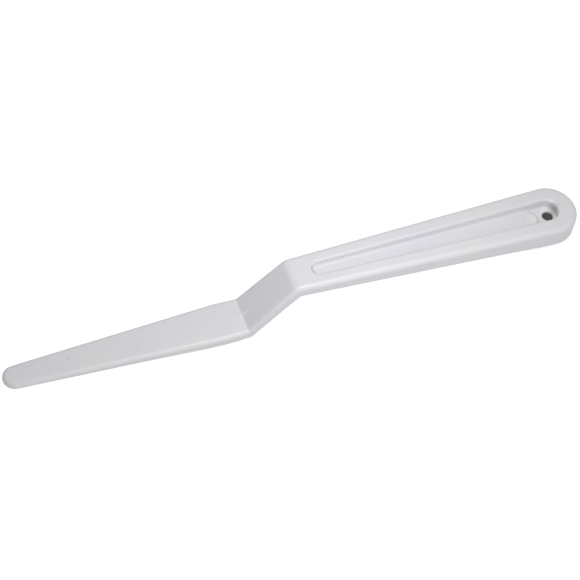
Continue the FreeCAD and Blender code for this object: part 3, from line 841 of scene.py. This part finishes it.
def white_plastic(name, lift):
    """Satin white moulded plastic: faint flow clouds, a fine grain, specks, painted highlights beside the
    hanging hole and painted shade in and round it.
    """
    material = bpy.data.materials.new(name)
    material.use_nodes = True
    tree = material.node_tree
    shader = tree.nodes["Principled BSDF"]
    place = node(tree, "ShaderNodeAttribute", attribute_name="mould_place").outputs["Vector"]

    colour = flow_clouds(tree, place, lift)
    colour = specks(tree, place, colour)
    # painted highlights beside the hole, then painted shade at the nose, in the channel's far corner and down
    # the hole
    colour = painted_floor_highlights(tree, place, colour)
    colour = painted_shade(tree, place, colour)
    tree.links.new(colour, shader.inputs["Base Color"])

    wear = noise(tree, place, ROUGHNESS_SCALE, ROUGHNESS_DETAIL)
    tree.links.new(remap(tree, wear, *ROUGHNESS_SPAN, *ROUGHNESS), shader.inputs["Roughness"])

    grain = bump(tree, place, GRAIN_SCALE, GRAIN_DETAIL, GRAIN_STRENGTH, GRAIN_HEIGHT)
    waves = bump(tree, place, WAVE_SCALE, WAVE_DETAIL, WAVE_STRENGTH, WAVE_HEIGHT)
    tree.links.new(grain.outputs["Normal"], waves.inputs["Normal"])
    tree.links.new(waves.outputs["Normal"], shader.inputs["Normal"])
    return material


# ---------------------------------------------------------------- the pieces
plastic = white_plastic("white_plastic", 1.0)
gate_plastic = white_plastic("gate_plastic", GATE_LIFT)


def bend(piece, first_body, second_body, first_number, second_number):
    """Bakes a piece's placement into its mesh, and finds the middles of two sections on either side of the
    joint between two bodies.
    """
    start = row_point(sections[first_number].middle())
    end = row_point(sections[second_number].middle())
    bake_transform(piece)


def section_at(station):
    """The number of the last section of the blade or the handle that is no further than a station."""
    return max(number for number, section in enumerate(sections) if section.top.x <= station)


# for each piece, from tip to butt: the two bodies whose joint it lies over, and the sections on either side
# of that joint
bends = {
    "blade_end": ("blade_front", "blade_tip", seams[0] - 1, section_at(TIP_BEND_FRONT)),
    "blade_centre": ("blade_middle", "blade_front", seams[1] - 1, seams[0] + 1),
    "blade_rear": ("blade_root", "blade_middle", seams[2] - 1, seams[1] + 1),
    "heel_and_neck": ("neck", "blade_root", neck_seam - 1, section_at(HEEL_BEND_FRONT)),
    "neck_and_handle": ("handle", "neck", section_at(CREST_BEND_REAR), neck_seam + 1),
}
stands_for = {
    "blade_end": ["blade_front", "blade_tip"],
    "blade_centre": ["blade_middle"],
    "blade_rear": ["blade_root"],
    "heel_and_neck": ["neck"],
    "neck_and_handle": ["handle"],
}
cuts = [0] + seams + [last]
for name, first, final in zip(bends, cuts, cuts[1:]):
    piece = moulding_piece(name, first, final)
    bend(piece, *bends[name])
    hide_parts(*stands_for[name])


def gate_mark():
    """The trimmed sliver of the gate: a low web across the crease, on the middle of the tool."""
    faces = []
    rings = []
    for step in range(GATE_STEPS + 1):
        share = step / GATE_STEPS
        station = lerp(GATE_FRONT[0], GATE_REAR[0], share)
        ridge = lerp(GATE_FRONT[1], GATE_REAR[1], share) - GATE_SAG * math.sin(math.pi * share)
        swell = math.sin(math.pi * min(share + GATE_WIDEST_SHIFT, 1.0))
        half = GATE_MARK_WIDTH / 2 * (GATE_END_WIDTH + GATE_MIDDLE_WIDTH * swell)
        ring = []
        for number in range(GATE_SIDES + 1):
            angle = math.pi * number / GATE_SIDES
            ring.append(Vector((station, half * math.cos(angle), ridge - half + half * math.sin(angle))))
        ring.append(Vector((station, -half, ridge - GATE_ROOT)))
        ring.append(Vector((station, half, ridge - GATE_ROOT)))
        rings.append(ring)
    for before, after in zip(rings, rings[1:]):
        for number in range(len(before)):
            following = (number + 1) % len(before)
            faces.append([before[number], after[number], after[following], before[following]])
    faces += [rings[0], rings[-1]]
    mark = build_mesh("gate_mark", faces)
    mark.data.materials.append(gate_plastic)
    bend(mark, *bends["heel_and_neck"])


gate_mark()


# ---------------------------------------------------------------- studio
def pale_paper():
    """White paper that glows, with a painted shadow where something stands close over it: there its glow
    fades.
    """
    paper = bpy.data.materials.new("pale_paper")
    paper.use_nodes = True
    tree = paper.node_tree
    shader = tree.nodes["Principled BSDF"]
    shader.inputs["Base Color"].default_value = (*FLOOR_COLOUR, 1.0)
    shader.inputs["Roughness"].default_value = FLOOR_ROUGHNESS
    shader.inputs["Emission Color"].default_value = (1.0, 1.0, 1.0, 1.0)
    openness = node(tree, "ShaderNodeAmbientOcclusion")
    openness.inputs["Distance"].default_value = FLOOR_SHADE_REACH
    glow = remap(tree, openness.outputs["AO"], *FLOOR_OPENNESS, 0.0, FLOOR_GLOW)
    tree.links.new(glow, shader.inputs["Emission Strength"])
    return paper


def stage_sheet(name, corners, faces, paper):
    """A sheet of the studio, which the camera sees and which takes no light from the tool."""
    mesh = bpy.data.meshes.new(name)
    mesh.from_pydata(corners, [], faces)
    mesh.materials.append(paper)
    sheet = bpy.data.objects.new(name, mesh)
    bpy.context.scene.collection.objects.link(sheet)
    sheet.visible_diffuse = False
    sheet.visible_shadow = False
    return sheet


def pale_floor(paper):
    reach = FLOOR_REACH
    corners = [(-reach, -reach, 0), (reach, -reach, 0), (reach, reach, 0), (-reach, reach, 0)]
    stage_sheet("floor", corners, [(0, 1, 2, 3)], paper)


def pale_backdrop(paper):
    """A round wall behind the floor's edge, for views from low down."""
    ring = []
    for number in range(BACKDROP_SIDES):
        angle = 2 * math.pi * number / BACKDROP_SIDES
        ring.append((FLOOR_REACH * math.cos(angle), FLOOR_REACH * math.sin(angle)))
    corners = [(x, y, 0) for x, y in ring] + [(x, y, BACKDROP_HEIGHT) for x, y in ring]
    faces = []
    for number in range(BACKDROP_SIDES):
        following = (number + 1) % BACKDROP_SIDES
        faces.append((number, following, following + BACKDROP_SIDES, number + BACKDROP_SIDES))
    stage_sheet("backdrop", corners, faces, paper).visible_glossy = False


def softbox(name, towards, distance, size, power):
    """A square area light that faces the tool's middle from a direction."""
    lamp = bpy.data.lights.new(name, "AREA")
    lamp.shape = "SQUARE"
    lamp.size = size
    lamp.energy = power
    light = bpy.data.objects.new(name, lamp)
    direction = Vector(towards).normalized()
    light.location = LIT_POINT + direction * distance
    light.rotation_euler = direction.to_track_quat("Z", "Y").to_euler()
    bpy.context.scene.collection.objects.link(light)


def daylight():
    world = bpy.data.worlds.new("studio")
    world.use_nodes = True
    background = world.node_tree.nodes["Background"]
    background.inputs["Color"].default_value = (*WORLD_COLOUR, 1.0)
    background.inputs["Strength"].default_value = WORLD_STRENGTH
    bpy.context.scene.world = world


def camera():
    """The camera, turned about the point of the table that it looks at."""
    lens = bpy.data.cameras.new("camera")
    lens.lens = CAMERA_LENS
    lens.sensor_width = CAMERA_SENSOR
    lens.clip_start = CAMERA_NEAR
    azimuth, elevation, roll = (
        math.radians(turn) for turn in (CAMERA_AZIMUTH, CAMERA_ELEVATION, CAMERA_ROLL))
    back = Vector((math.sin(azimuth) * math.cos(elevation), -math.cos(azimuth) * math.cos(elevation),
                   math.sin(elevation)))
    level = Vector((math.cos(azimuth), math.sin(azimuth), 0.0))
    right = Matrix.Rotation(roll, 3, back) @ level
    up = back.cross(right)
    eye = bpy.data.objects.new("camera", lens)
    axes = Matrix((right, up, back)).transposed().to_4x4()
    eye.matrix_world = Matrix.Translation(CAMERA_TARGET + back * CAMERA_DISTANCE) @ axes
    bpy.context.scene.collection.objects.link(eye)
    bpy.context.scene.camera = eye


paper = pale_paper()
pale_floor(paper)
pale_backdrop(paper)
daylight()
softbox("key", KEY_FROM, KEY_DISTANCE, KEY_SIZE, KEY_POWER)
softbox("fill", FILL_FROM, FILL_DISTANCE, FILL_SIZE, FILL_POWER)
camera()
bpy.context.scene.view_settings.view_transform = "Standard"
